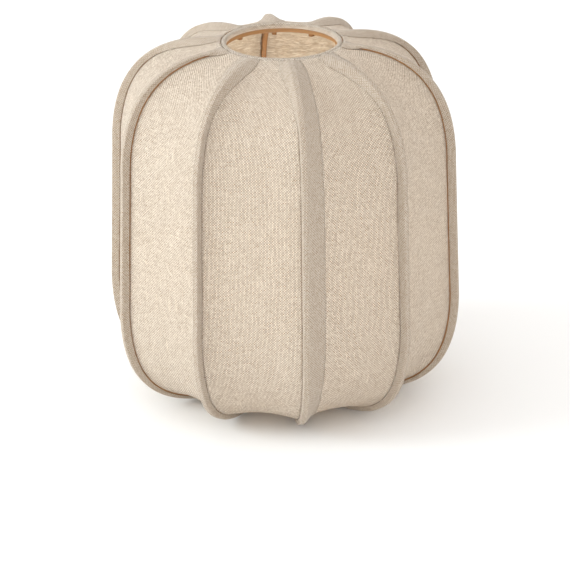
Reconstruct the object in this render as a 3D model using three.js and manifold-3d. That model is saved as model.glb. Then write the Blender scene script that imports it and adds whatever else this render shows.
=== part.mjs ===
// Ribbed fabric lamp shade: flat ribs between two hoops, with a cloth panel stretched across each gap.
// Millimetres, +Z up. The origin is the middle of the shade's foot, on the plane that it stands on.
import * as THREE from "three";
import { mergeVertices } from "three/addons/utils/BufferGeometryUtils.js";
import Module from "manifold-3d";

const wasm = await Module();
wasm.setup();

// Whole shade
const ribCount = 10;
const gap = 0.3;                  // working clearance between two pieces that touch
const stepsAlongRib = 20;

// Ribs: the outer edge runs out over a shoulder, down a nearly straight side and in round a foot
const ribThickness = 4.5;
const ribDepth = 16;
const ribEndDepth = 13;
const ribTaperLength = 45;
const crestTop = { radius: 61, z: 369 };
const shoulder = { radius: 175, z: 252, reachOut: 72, reachUp: 84 };
const belly = { radius: 179.5, z: 110 };
const foot = { radius: 76.5, z: 1.3, reachOut: 52, reachUp: 92 };

// Hoops that the rib ends meet
const hoopThickness = 3.5;
const topHoop = { outerRadius: 59.6, low: 359.5, high: 368.7 };
const bottomHoop = { outerRadius: 75.2, low: 1.1, high: 13.1 };
const hoopSegments = 40;

// Cloth
const tapeThickness = 0.7;
const hemThickness = 0.8;
const hemLip = 3.3;               // how far a hem turns down over the outside of its hoop
const hemInside = 5.2;            // and over the inside
const panelThickness = 0.8;
const panelStepsAcross = 4;
const panelMeanShare = 0.75;      // mean width of a panel against its width at the shoulder
const panelDrop = 8.5;            // how far below the rib's outer edge a panel is fixed
const panelEndDrop = 3;
const panelTaperLength = 150;     // over which a panel comes up to its smaller drop at either end
const bareStrip = 1.6;            // rib left showing between tape and panel
const tensionAcross = 1.9;        // pull across a panel against the pull along it
const relaxRounds = 400;

// Fitter: a ring for the lampholder, held by arms that are screwed to the bottom hoop
const fitter = { holeRadius: 21, outerRadius: 28, thickness: 2.5, middle: 9.3 };
const armCount = 3;
const armRadius = 2;
const roundSides = 12;            // sides of a bar, a screw or a screw hole
const tab = { width: 22, height: 6.4, thickness: 1.5 };
const screw = {
  headRadius: 2.9, crownRadius: 2, headHeight: 1.5, rimHeight: 0.8,
  shankRadius: 1.2, grip: 1.8, places: [-7, 7],
};

const wood = { color: "#8a5a2b", roughness: 0.6, metalness: 0 };
const bentWood = { color: "#9a6733", roughness: 0.6, metalness: 0 };
const linen = { color: "#e2d5bd", roughness: 0.95, metalness: 0 };
const linenTape = { color: "#d9c9ad", roughness: 0.95, metalness: 0 };
const paintedSteel = { color: "#ece9e2", roughness: 0.45, metalness: 0.1 };
const zincSteel = { color: "#c4c4c0", roughness: 0.35, metalness: 0.9 };

const shade = new THREE.Group();
const ribAngle = (2 * Math.PI) / ribCount;

function addPiece(name, geometry, finish, turn = 0) {
  const mesh = new THREE.Mesh(geometry, new THREE.MeshStandardMaterial(finish));
  mesh.name = name;
  mesh.rotation.z = turn;
  shade.add(mesh);
}

// Solids are cut and joined with manifold
function toSolid(geometry) {
  const bare = geometry.clone();
  bare.deleteAttribute("normal");
  bare.deleteAttribute("uv");
  const merged = mergeVertices(bare, 1e-4);
  const vertProperties = new Float32Array(merged.attributes.position.array);
  const triVerts = new Uint32Array(merged.index.array);
  return new wasm.Manifold(new wasm.Mesh({ numProp: 3, vertProperties, triVerts }));
}

function toGeometry(solid) {
  const mesh = solid.getMesh();
  const geometry = new THREE.BufferGeometry();
  geometry.setAttribute("position", new THREE.BufferAttribute(new Float32Array(mesh.vertProperties), 3));
  geometry.setIndex(new THREE.BufferAttribute(new Uint32Array(mesh.triVerts), 1));
  geometry.computeVertexNormals();
  return geometry;
}

// Outer edge of a rib in its own plane, x outwards and y up, at even steps from top to bottom
function crestLine() {
  const path = new THREE.CurvePath();
  const at = (x, y) => new THREE.Vector2(x, y);
  const side = [at(shoulder.radius, shoulder.z), at(belly.radius, belly.z)];
  const start = at(crestTop.radius, crestTop.z);
  const end = at(foot.radius, foot.z);
  const out = at(crestTop.radius + shoulder.reachOut, crestTop.z);
  const up = at(shoulder.radius, shoulder.z + shoulder.reachUp);
  const down = at(belly.radius, belly.z - foot.reachUp);
  const back = at(foot.radius + foot.reachOut, foot.z);
  path.add(new THREE.CubicBezierCurve(start, out, up, side[0]));
  path.add(new THREE.LineCurve(side[0], side[1]));
  path.add(new THREE.CubicBezierCurve(side[1], down, back, end));
  return path.getSpacedPoints(stepsAlongRib);
}

const crest = crestLine();
const crestLength = crest.slice(1).reduce((sum, point, i) => sum + point.distanceTo(crest[i]), 0);

// Direction from the crest into the rib, square to its edge
const inward = crest.map((point, i) => {
  const before = crest[Math.max(i - 1, 0)];
  const after = crest[Math.min(i + 1, stepsAlongRib)];
  const along = after.clone().sub(before).normalize();
  return new THREE.Vector2(along.y, -along.x);
});
inward[0].set(0, -1);
inward[stepsAlongRib].set(0, 1);

// A depth below the crest that is full along the rib and smaller at both ends
function depthAt(step, full, atEnds, taperLength) {
  const fromEnd = (Math.min(step, stepsAlongRib - step) / stepsAlongRib) * crestLength;
  return THREE.MathUtils.lerp(atEnds, full, THREE.MathUtils.smoothstep(fromEnd, 0, taperLength));
}

function below(step, depth) {
  return crest[step].clone().addScaledVector(inward[step], depth);
}

const stepList = crest.map((point, i) => i);
const panelDepth = (step) => depthAt(step, panelDrop, panelEndDrop, panelTaperLength);
const tapeDepth = (step) => panelDepth(step) - bareStrip;

function ribShape() {
  const outer = stepList.map((i) => below(i, 0));
  const inner = stepList.map((i) => below(i, depthAt(i, ribDepth, ribEndDepth, ribTaperLength))).reverse();
  const topNotch = topHoop.high + gap + hemThickness - hemLip - 2 * gap;
  const bottomNotch = bottomHoop.low - gap - hemThickness + hemLip + 2 * gap;
  const topTenon = topHoop.outerRadius + gap;
  const bottomTenon = bottomHoop.outerRadius + gap;
  const at = (x, y) => new THREE.Vector2(x, y);
  return new THREE.Shape([
    ...outer,
    at(foot.radius, bottomNotch),
    at(bottomTenon, bottomNotch),
    at(bottomTenon, inner[0].y),
    ...inner,
    at(topTenon, inner[stepsAlongRib].y),
    at(topTenon, topNotch),
    at(crestTop.radius, topNotch),
  ]);
}

// The rib stands in the plane x = 0 with its outer edge towards -Y
function ribGeometry() {
  const options = { depth: ribThickness, bevelEnabled: false, curveSegments: 1 };
  const geometry = new THREE.ExtrudeGeometry(ribShape(), options);
  geometry.translate(0, 0, -ribThickness / 2);
  const outwards = new THREE.Vector3(0, -1, 0);
  const upwards = new THREE.Vector3(0, 0, 1);
  const sideways = new THREE.Vector3(-1, 0, 0);
  geometry.applyMatrix4(new THREE.Matrix4().makeBasis(outwards, upwards, sideways));
  return geometry;
}

// Closed skin over a grid of sections. Each section is a loop of points, and the end ones are capped.
function loftGeometry(sections, cap) {
  const size = sections[0].length;
  const positions = sections.flat().flatMap((point) => [point.x, point.y, point.z]);
  const index = [];
  for (let i = 0; i + 1 < sections.length; i++) {
    for (let j = 0; j < size; j++) {
      const a = i * size + j;
      const b = i * size + ((j + 1) % size);
      index.push(a, b, a + size, b, b + size, a + size);
    }
  }
  const last = (sections.length - 1) * size;
  for (const [a, b, c] of cap) {
    index.push(c, b, a);
    index.push(last + a, last + b, last + c);
  }
  const geometry = new THREE.BufferGeometry();
  geometry.setAttribute("position", new THREE.BufferAttribute(new Float32Array(positions), 3));
  geometry.setIndex(index);
  geometry.computeVertexNormals();
  return geometry;
}

// Three flat strips close the end of a U-shaped section
const channelCap = [[0, 1, 6], [0, 6, 7], [1, 2, 5], [1, 5, 6], [2, 3, 4], [2, 4, 5]];

// Tape folded over a rib's outer edge
function tapeGeometry() {
  const near = ribThickness / 2 + gap;
  const far = near + tapeThickness;
  const sections = stepList.map((i) => {
    const deep = tapeDepth(i);
    const loop = [
      [-far, deep], [-far, -gap - tapeThickness], [far, -gap - tapeThickness], [far, deep],
      [near, deep], [near, -gap], [-near, -gap], [-near, deep],
    ];
    return loop.map(([across, depth]) => {
      const point = below(i, depth);
      return new THREE.Vector3(across, -point.x, point.y);
    });
  });
  return loftGeometry(sections.reverse(), channelCap);
}

// Outer face of one panel as rows of points from top to bottom. It is held at both ribs and both hoops,
// and the points between settle where the pulls along and across the cloth balance.
function panelNet() {
  const half = ribAngle / 2;
  const edgeOffset = ribThickness / 2 + gap;
  const net = stepList.map((i) => {
    const root = below(i, panelDepth(i));
    const sweep = half - Math.asin(edgeOffset / root.x);
    const row = [];
    for (let j = 0; j <= panelStepsAcross; j++) {
      const turn = THREE.MathUtils.lerp(-sweep, sweep, j / panelStepsAcross);
      row.push(new THREE.Vector3(root.x * Math.sin(turn), -root.x * Math.cos(turn), root.y));
    }
    return row;
  });
  const stepAlong = crestLength / stepsAlongRib;
  const stepAcross = (shoulder.radius * ribAngle * panelMeanShare) / panelStepsAcross;
  const across = tensionAcross * (stepAlong / stepAcross) ** 2;
  for (let round = 0; round < relaxRounds; round++) {
    for (let i = 1; i < stepsAlongRib; i++) {
      for (let j = 1; j < panelStepsAcross; j++) {
        const sum = new THREE.Vector3().add(net[i - 1][j]).add(net[i + 1][j]);
        sum.addScaledVector(net[i][j - 1], across).addScaledVector(net[i][j + 1], across);
        net[i][j].copy(sum.divideScalar(2 + 2 * across));
      }
    }
  }
  return net;
}

function panelGeometry() {
  const net = panelNet();
  const normal = (i, j) => {
    const up = net[Math.max(i - 1, 0)][j];
    const down = net[Math.min(i + 1, stepsAlongRib)][j];
    const left = net[i][Math.max(j - 1, 0)];
    const right = net[i][Math.min(j + 1, panelStepsAcross)];
    return right.clone().sub(left).cross(up.clone().sub(down)).normalize();
  };
  const sections = net.map((row, i) => {
    const inner = row.map((point, j) => {
      const back = point.clone().addScaledVector(normal(i, j), -panelThickness);
      if (j === 0 || j === panelStepsAcross) {
        // the cut edges stay square to the rib's flank
        const flank = (j === 0 ? -1 : 1) * (ribAngle / 2);
        const aside = new THREE.Vector3(Math.cos(flank), Math.sin(flank), 0);
        back.addScaledVector(aside, -back.clone().sub(point).dot(aside));
      }
      return back;
    });
    return [...row, ...inner.reverse()];
  });
  const lastPoint = 2 * panelStepsAcross + 1;
  const cap = [];
  for (let j = 0; j < panelStepsAcross; j++) {
    cap.push([j, j + 1, lastPoint - j], [j + 1, lastPoint - j - 1, lastPoint - j]);
  }
  return loftGeometry(sections.reverse(), cap);
}

// Ring turned from a closed outline of [radius, height] points, listed counter-clockwise
function ringGeometry(outline, segments) {
  const points = [...outline, outline[0]].map(([radius, z]) => new THREE.Vector2(radius, z));
  return new THREE.LatheGeometry(points, segments).rotateX(Math.PI / 2);
}

function hoopGeometry(hoop) {
  const innerRadius = hoop.outerRadius - hoopThickness;
  const outline = [
    [innerRadius, hoop.low], [hoop.outerRadius, hoop.low],
    [hoop.outerRadius, hoop.high], [innerRadius, hoop.high],
  ];
  return ringGeometry(outline, hoopSegments);
}

// Cloth band folded over the free edge of a hoop; side is 1 for an upper edge and -1 for a lower one
function hemGeometry(hoop, side) {
  const face = side > 0 ? hoop.high + gap : hoop.low - gap;
  const back = face + side * hemThickness;
  const inside = hoop.outerRadius - hoopThickness - gap;
  const outside = hoop.outerRadius + gap;
  const outline = [
    [inside - hemThickness, back - side * hemInside], [inside, back - side * hemInside],
    [inside, face], [outside, face],
    [outside, back - side * hemLip], [outside + hemThickness, back - side * hemLip],
    [outside + hemThickness, back], [inside - hemThickness, back],
  ];
  if (side < 0) {
    outline.reverse();
  }
  return ringGeometry(outline, hoopSegments);
}

function fitterRingGeometry() {
  const low = fitter.middle - fitter.thickness / 2;
  const high = fitter.middle + fitter.thickness / 2;
  const outline = [
    [fitter.holeRadius, low], [fitter.outerRadius, low],
    [fitter.outerRadius, high], [fitter.holeRadius, high],
  ];
  return ringGeometry(outline, hoopSegments);
}

// Pieces of the fitter are modelled along +Y and turned into place
const armTurns = Array.from({ length: armCount }, (none, i) => (i * 2 * Math.PI) / armCount);
const screwHole = screw.shankRadius + gap;
const hoopInner = bottomHoop.outerRadius - hoopThickness;
const tabOuter = hoopInner - 2 * gap - (tab.width / 2) ** 2 / (2 * hoopInner);
const tabInner = tabOuter - tab.thickness;
const screwEnd = hoopInner + screw.grip;

// A round bar along +Y at the fitter's height, from one distance to another
function barAlongY(radius, from, to, aside = 0) {
  const bar = new THREE.CylinderGeometry(radius, radius, to - from, roundSides);
  return bar.translate(aside, (from + to) / 2, fitter.middle);
}

// Arm from the fitter ring to a tab that lies against the inside of the hoop, with a screw hole on each side
function armGeometry() {
  const plate = new THREE.BoxGeometry(tab.width, tab.thickness, tab.height);
  plate.translate(0, tabOuter - tab.thickness / 2, fitter.middle);
  const rod = barAlongY(armRadius, fitter.outerRadius + gap, tabOuter - tab.thickness / 2);
  let arm = toSolid(plate).add(toSolid(rod));
  for (const aside of screw.places) {
    const hole = barAlongY(screwHole, tabInner - tab.thickness, tabOuter + tab.thickness, aside);
    arm = arm.subtract(toSolid(hole));
  }
  return toGeometry(arm);
}

// The bottom hoop has a blind hole for every screw
function drilledHoopGeometry() {
  let hoop = toSolid(hoopGeometry(bottomHoop));
  for (const turn of armTurns) {
    for (const aside of screw.places) {
      const hole = barAlongY(screwHole, tabOuter, screwEnd + gap, aside);
      hoop = hoop.subtract(toSolid(hole.rotateZ(turn)));
    }
  }
  return toGeometry(hoop);
}

// Pan head screw: the head bears on the tab and the shank runs outwards into the hoop
function screwGeometry(aside) {
  const headFace = tabInner - gap;
  const head = headFace - screw.headHeight;
  const outline = [
    [0, head], [screw.crownRadius, head], [screw.headRadius, headFace - screw.rimHeight],
    [screw.headRadius, headFace], [screw.shankRadius, headFace], [screw.shankRadius, screwEnd],
    [0, screwEnd],
  ];
  const points = outline.map(([radius, along]) => new THREE.Vector2(radius, along));
  return new THREE.LatheGeometry(points, roundSides).translate(aside, 0, fitter.middle);
}

for (let i = 0; i < ribCount; i++) {
  const number = String(i + 1).padStart(2, "0");
  addPiece(`rib_${number}`, ribGeometry(), wood, i * ribAngle);
  addPiece(`rib_tape_${number}`, tapeGeometry(), linenTape, i * ribAngle);
  addPiece(`panel_${number}`, panelGeometry(), linen, (i + 0.5) * ribAngle);
}

addPiece("top_hoop", hoopGeometry(topHoop), bentWood);
addPiece("bottom_hoop", drilledHoopGeometry(), bentWood);
addPiece("top_hem", hemGeometry(topHoop, 1), linenTape);
addPiece("bottom_hem", hemGeometry(bottomHoop, -1), linenTape);

addPiece("fitter_ring", fitterRingGeometry(), paintedSteel);
armTurns.forEach((turn, i) => {
  addPiece(`fitter_arm_${i + 1}`, armGeometry(), paintedSteel, turn);
  screw.places.forEach((aside, j) => {
    addPiece(`fitter_screw_${2 * i + j + 1}`, screwGeometry(aside), zincSteel, turn);
  });
});

export default shade;
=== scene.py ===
# Lamp shade with taped ribs and hollow cloth panels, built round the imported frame. Metres, +Z up.
import math

import bpy
import numpy as np
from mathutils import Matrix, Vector


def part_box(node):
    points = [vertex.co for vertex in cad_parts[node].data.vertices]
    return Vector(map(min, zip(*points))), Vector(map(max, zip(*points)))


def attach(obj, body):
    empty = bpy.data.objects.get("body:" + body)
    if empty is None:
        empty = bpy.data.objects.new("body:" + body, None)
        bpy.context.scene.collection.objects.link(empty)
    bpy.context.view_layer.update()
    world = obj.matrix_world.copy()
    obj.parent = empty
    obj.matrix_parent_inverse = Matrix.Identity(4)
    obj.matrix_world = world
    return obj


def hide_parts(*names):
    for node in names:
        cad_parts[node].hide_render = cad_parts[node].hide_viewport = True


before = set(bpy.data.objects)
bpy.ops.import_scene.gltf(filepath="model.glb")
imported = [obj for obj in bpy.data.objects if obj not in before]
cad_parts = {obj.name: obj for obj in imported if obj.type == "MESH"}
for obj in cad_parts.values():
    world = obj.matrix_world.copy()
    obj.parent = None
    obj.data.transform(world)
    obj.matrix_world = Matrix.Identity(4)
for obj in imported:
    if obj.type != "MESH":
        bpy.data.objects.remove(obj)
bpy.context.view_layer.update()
scene = bpy.context.scene
mm = 0.001


def low(node):
    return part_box(node)[0]


def high(node):
    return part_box(node)[1]


# Where things are, read from the frame
ribCount = sum(name.startswith("rib_") and name[4:].isdigit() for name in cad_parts)
ribAngle = math.tau / ribCount
ribThickness = high("rib_01")[0] - low("rib_01")[0]
bellyRadius = -low("rib_01")[1]
footHeight = low("rib_01")[2]
crestHeight = high("rib_01")[2]
topHoopRadius = high("top_hoop")[1]
bottomHoopRadius = high("bottom_hoop")[1]

# The line of a rib's outer edge between those sizes
ribLine = {
    "steps": 150,
    "topRadius": topHoopRadius + 1.4 * mm,
    "topReach": 72 * mm,
    "shoulderRadius": bellyRadius - 4.5 * mm,
    "shoulderHeight": 252 * mm,
    "shoulderReach": 84 * mm,
    "bellyHeight": 110 * mm,
    "bellyReach": 92 * mm,
    "footRadius": bottomHoopRadius + 1.3 * mm,
    "footReach": 52 * mm,
    "samples": 300,            # points that each curve is first drawn with
}


def runLength(points, axis=0):
    steps = np.linalg.norm(np.diff(points, axis=axis), axis=-1)
    start = np.zeros_like(np.take(steps, [0], axis=axis))
    return np.concatenate([start, np.cumsum(steps, axis=axis)], axis=axis)


def bezier(start, out, back, end, count):
    t = np.linspace(0, 1, count)[:, None]
    points = [np.array(p, float) for p in (start, out, back, end)]
    weights = [(1 - t) ** 3, 3 * t * (1 - t) ** 2, 3 * t * t * (1 - t), t**3]
    return sum(w * p for w, p in zip(weights, points))


# Rib line as (radius, height) points at even steps, with the direction into the rib at each
def makeRibLine(line):
    shoulder = (line["shoulderRadius"], line["shoulderHeight"])
    belly = (bellyRadius, line["bellyHeight"])
    top = (line["topRadius"], crestHeight)
    foot = (line["footRadius"], footHeight)
    overTop = (top[0] + line["topReach"], top[1])
    overShoulder = (shoulder[0], shoulder[1] + line["shoulderReach"])
    underBelly = (belly[0], belly[1] - line["bellyReach"])
    underFoot = (foot[0] + line["footReach"], foot[1])
    over = bezier(top, overTop, overShoulder, shoulder, line["samples"])
    side = bezier(shoulder, shoulder, belly, belly, line["samples"])[1:-1]
    under = bezier(belly, underBelly, underFoot, foot, line["samples"])
    points = np.vstack([over, side, under])
    along = runLength(points)
    at = np.linspace(0, along[-1], line["steps"] + 1)
    points = np.stack([np.interp(at, along, points[:, k]) for k in (0, 1)], axis=1)
    run = np.gradient(points, axis=0)
    run /= np.linalg.norm(run, axis=1)[:, None]
    inward = np.stack([run[:, 1], -run[:, 0]], axis=1)
    inward[0] = (0, -1)
    inward[-1] = (0, 1)
    return points, inward, at


crest, crestInward, crestAlong = makeRibLine(ribLine)
crestLength = crestAlong[-1]


def smooth(x, start, end):
    t = np.clip((x - start) / (end - start), 0, 1)
    return t * t * (3 - 2 * t)


# A depth under the rib line that is full along the rib and smaller at its ends
def taperedDepth(full, atEnds, length):
    fromEnd = np.minimum(crestAlong, crestLength - crestAlong)
    return atEnds + (full - atEnds) * smooth(fromEnd, 0, length)


# How far below the rib's outer edge a panel is fixed
panelFixing = {"full": 8.5 * mm, "atEnds": 3 * mm, "length": 150 * mm}
panelDepth = taperedDepth(**panelFixing)
print("frame read:", ribCount, "ribs,", round(crestLength, 4), "m along each")


def addPiece(name, points, faces, uvs, material):
    mesh = bpy.data.meshes.new(name)
    mesh.from_pydata(np.asarray(points).tolist(), [], faces)
    layer = mesh.uv_layers.new(name="clothUv")
    layer.data.foreach_set("uv", np.asarray(uvs, np.float32).ravel())
    mesh.polygons.foreach_set("use_smooth", [True] * len(mesh.polygons))
    mesh.materials.append(material)
    mesh.validate()
    piece = bpy.data.objects.new(name, mesh)
    scene.collection.objects.link(piece)
    return piece


# Closed skin over rows of section points. The first half of a section is its outside and the second half
# comes back along its inside, so the two ends are closed by strips between them. u and v are in metres.
def loftMesh(sections, u, v, endless=False):
    sections = np.asarray(sections, float)
    rows, size = sections.shape[:2]
    u = np.broadcast_to(u, (rows, size + 1))
    v = np.broadcast_to(np.asarray(v, float).reshape(rows, -1), (rows, size + 1))
    faces, uvs = [], []
    for i in range(rows if endless else rows - 1):
        k = (i + 1) % rows
        vNext = v[i] + (v[1] - v[0]) if k == 0 else v[k]
        for j in range(size):
            n = (j + 1) % size
            faces.append((i * size + j, i * size + n, k * size + n, k * size + j))
            uvs += [(u[i, j], v[i, j]), (u[i, j + 1], v[i, j + 1])]
            uvs += [(u[k, j + 1], vNext[j + 1]), (u[k, j], vNext[j])]
    if not endless:
        for row, flip in ((0, True), (rows - 1, False)):
            for j in range(size // 2 - 1):
                strip = [j, j + 1, size - 2 - j, size - 1 - j]
                strip = strip[::-1] if flip else strip
                faces.append(tuple(row * size + k for k in strip))
                uvs += [(u[row, k], v[row, k]) for k in strip]
    return sections.reshape(-1, 3), faces, uvs


def turned(points, angle):
    c, s = math.cos(angle), math.sin(angle)
    return np.asarray(points) @ np.array([[c, s, 0], [-s, c, 0], [0, 0, 1]])


# An input is given as its kind of socket, or as its usual value
def newTree(name, kind, inputs, outputs):
    tree = bpy.data.node_groups.new(name, kind)
    kinds = {float: "Float", int: "Int", tuple: "Color"}
    for label, given in inputs.items():
        socket = given if isinstance(given, str) else kinds[type(given)]
        item = tree.interface.new_socket(label, in_out="INPUT", socket_type="NodeSocket" + socket)
        if given is not socket:
            item.default_value = given
    for label, socket in outputs.items():
        tree.interface.new_socket(label, in_out="OUTPUT", socket_type="NodeSocket" + socket)
    start = tree.nodes.new("NodeGroupInput")
    end = tree.nodes.new("NodeGroupOutput")
    return tree, start.outputs, end.inputs


# Links or sets each socket named in values
def feed(tree, sockets, values):
    for key, value in values.items():
        if isinstance(value, bpy.types.NodeSocket):
            tree.links.new(value, sockets[key])
        elif value is not None:
            sockets[key].default_value = value


def add(tree, kind, inputs=(), **settings):
    node = tree.nodes.new(kind)
    for key, value in settings.items():
        setattr(node, key, value)
    feed(tree, node.inputs, inputs if isinstance(inputs, dict) else dict(enumerate(inputs)))
    return node


def calc(tree, operation, *values):
    return add(tree, "ShaderNodeMath", values, operation=operation).outputs[0]


def blendColours(tree, factor, first, second):
    inputs = {0: factor, 6: first, 7: second}
    return add(tree, "ShaderNodeMix", inputs, data_type="RGBA", clamp_factor=True).outputs[2]


def ramp(tree, value, fromLow, fromHigh, toLow=0.0, toHigh=1.0, kind="SMOOTHSTEP"):
    inputs = [value, fromLow, fromHigh, toLow, toHigh]
    return add(tree, "ShaderNodeMapRange", inputs, interpolation_type=kind).outputs[0]


def noise(tree, vector, scale, detail=2.0, roughness=0.5):
    inputs = {"Vector": vector, "Scale": scale, "Detail": detail, "Roughness": roughness}
    return add(tree, "ShaderNodeTexNoise", inputs).outputs["Fac"]


def joined(tree, x, y, z=0.0):
    return add(tree, "ShaderNodeCombineXYZ", [x, y, z]).outputs[0]


# Plain weave of the panels and of the tapes, and the loose straw on the panels' inner faces
panelCloth = {
    "Pitch": 1.32 * mm,
    "Yarn Width": 0.74,
    "Unevenness": 0.5,
    "Wander": 0.2,
    "Light Yarn": (1.0, 0.93, 0.815, 1),
    "Dark Yarn": (0.30, 0.20, 0.12, 1),
    "Weft Shade": 0.62,
    "Fleck": 0.34,
}
# the tapes' pale yarn is set darker than the panels': painted shade for the shaded flanks and band along the
# ribs and the closing seam
tapeClothWithPaintedShade = {**panelCloth, "Yarn Width": 0.82, "Light Yarn": (0.72, 0.64, 0.54, 1)}
strawLining = {
    "Straw Width": 1.5 * mm,
    "Straw Length": 14 * mm,
    "Pale Straw": (1.0, 0.93, 0.79, 1),
    "Deep Straw": (0.50, 0.35, 0.19, 1),
}
ribWood = {"Light Wood": (0.40, 0.20, 0.065, 1), "Dark Wood": (0.24, 0.10, 0.03, 1), "Stretch": 0.04}
hoopWood = {**ribWood, "Light Wood": (0.48, 0.26, 0.095, 1), "Dark Wood": (0.32, 0.15, 0.05, 1)}


# Plain weave of uneven yarn. It reads a UV map in metres, with u across the cloth and v along it.
def makeWeaveGroup():
    outputs = {"Colour": "Color", "Height": "Float", "Cover": "Float"}
    tree, given, out = newTree("plainWeave", "ShaderNodeTree", {"UV": "Vector", **panelCloth}, outputs)
    flat = add(tree, "ShaderNodeSeparateXYZ", [given["UV"]]).outputs
    across = calc(tree, "DIVIDE", flat[0], given["Pitch"])
    along = calc(tree, "DIVIDE", flat[1], given["Pitch"])
    # yarns aren't laid quite straight
    drift = calc(tree, "SUBTRACT", noise(tree, given["UV"], 45, 3), 0.5)
    drift = calc(tree, "MULTIPLY", drift, given["Wander"])
    driftBack = calc(tree, "MULTIPLY", drift, -0.7)
    x = calc(tree, "MULTIPLY_ADD", drift, 4.0, across)
    y = calc(tree, "MULTIPLY_ADD", driftBack, 4.0, along)
    warpNumber, weftNumber = calc(tree, "FLOOR", x), calc(tree, "FLOOR", y)
    fromWarp = calc(tree, "SUBTRACT", calc(tree, "FRACT", x), 0.5)
    fromWeft = calc(tree, "SUBTRACT", calc(tree, "FRACT", y), 0.5)
    # +1 where the warp passes over, -1 where it passes under
    parity = calc(tree, "PINGPONG", calc(tree, "ADD", warpNumber, weftNumber), 1.0)
    over = calc(tree, "MULTIPLY_ADD", parity, 2.0, -1.0)

    def yarn(number, run, offset, crossOffset, side, shift):
        spot = joined(tree, calc(tree, "MULTIPLY", number, 3.17), calc(tree, "MULTIPLY", run, 0.16), shift)
        thick = noise(tree, spot, 1.0, 3)
        spread = calc(tree, "MULTIPLY_ADD", calc(tree, "SUBTRACT", thick, 0.5), given["Unevenness"], 1.0)
        halfWidth = calc(tree, "MULTIPLY", calc(tree, "MULTIPLY", given["Yarn Width"], spread), 0.5)
        away = calc(tree, "DIVIDE", calc(tree, "ABSOLUTE", offset), halfWidth)
        cover = ramp(tree, away, 0.85, 1.1, 1.0, 0.0)
        section = calc(tree, "SUBTRACT", 1.0, calc(tree, "POWER", away, 2.0))
        dome = calc(tree, "SQRT", calc(tree, "MAXIMUM", section, 0.0))
        wave = calc(tree, "COSINE", calc(tree, "MULTIPLY", crossOffset, math.pi))
        lift = calc(tree, "MULTIPLY", wave, side)
        height = calc(tree, "MULTIPLY_ADD", lift, 0.28, calc(tree, "MULTIPLY_ADD", dome, 0.4, 0.3))
        ownX, ownY = calc(tree, "MULTIPLY", number, 5.73), calc(tree, "MULTIPLY", run, 0.07)
        spot = joined(tree, ownX, ownY, shift + 9)
        tone = noise(tree, spot, 1.0, 2)
        return calc(tree, "MULTIPLY", height, cover), cover, tone

    warp = yarn(warpNumber, y, fromWarp, fromWeft, over, 0.0)
    weft = yarn(weftNumber, x, fromWeft, fromWarp, calc(tree, "MULTIPLY", over, -1.0), 4.0)
    height = calc(tree, "MAXIMUM", warp[0], weft[0])
    warpOnTop = calc(tree, "GREATER_THAN", warp[0], weft[0])
    tone = add(tree, "ShaderNodeMix", {0: warpOnTop, 2: weft[2], 3: warp[2]}, data_type="FLOAT")
    # crossings differ: one yarn is paler or browner than the next
    cell = joined(tree, warpNumber, weftNumber)
    chance = add(tree, "ShaderNodeTexWhiteNoise", [cell], noise_dimensions="2D").outputs["Value"]
    spot = joined(tree, calc(tree, "MULTIPLY", across, 0.5), calc(tree, "MULTIPLY", along, 0.4), 2.0)
    patch = calc(tree, "SUBTRACT", noise(tree, spot, 1.0, 2, 0.6), 0.5)
    fleck = calc(tree, "MULTIPLY_ADD", patch, 0.7, calc(tree, "SUBTRACT", chance, 0.5))
    weftDrop = calc(tree, "MULTIPLY", calc(tree, "SUBTRACT", 1.0, warpOnTop), given["Weft Shade"])
    streak = ramp(tree, tone.outputs[0], 0.3, 0.7, -0.06, 0.14, "LINEAR")
    shade = calc(tree, "MULTIPLY_ADD", fleck, given["Fleck"], streak)
    # the yarn's height lightens each crown and darkens its sides and the gaps between yarns: painted shade in
    # the weave's hollows, added to the yarns' own tones
    shade = calc(tree, "SUBTRACT", calc(tree, "MULTIPLY_ADD", height, 1.05, shade), weftDrop)
    colour = blendColours(tree, shade, given["Dark Yarn"], given["Light Yarn"])
    cover = calc(tree, "MAXIMUM", warp[1], weft[1])
    feed(tree, out, {"Colour": colour, "Height": height, "Cover": cover})
    return tree


# Long grain of stained bamboo or ply, along v
def makeGrainGroup():
    outputs = {"Colour": "Color", "Height": "Float", "Gloss": "Float"}
    tree, given, out = newTree("stripGrain", "ShaderNodeTree", {"UV": "Vector", **ribWood}, outputs)
    flat = add(tree, "ShaderNodeSeparateXYZ", [given["UV"]]).outputs
    run = calc(tree, "MULTIPLY", flat[1], given["Stretch"])
    spot = joined(tree, flat[0], run)
    fibre = noise(tree, spot, 1600, 5, 0.65)
    band = noise(tree, spot, 380, 2)
    poreSpot = joined(tree, flat[0], calc(tree, "MULTIPLY", run, 2.0))
    pores = ramp(tree, noise(tree, poreSpot, 3600, 2), 0.36, 0.46)
    tone = calc(tree, "MULTIPLY_ADD", band, 0.6, calc(tree, "MULTIPLY_ADD", fibre, 0.9, -0.25))
    tone = calc(tree, "MULTIPLY", tone, ramp(tree, pores, 0.0, 1.0, 0.55, 1.0, "LINEAR"))
    colour = blendColours(tree, tone, given["Dark Wood"], given["Light Wood"])
    height = calc(tree, "MULTIPLY_ADD", pores, 0.6, calc(tree, "MULTIPLY", fibre, 0.4))
    gloss = ramp(tree, fibre, 0.2, 0.8, 0.62, 0.42, "LINEAR")
    feed(tree, out, {"Colour": colour, "Height": height, "Gloss": gloss})
    return tree


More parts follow.
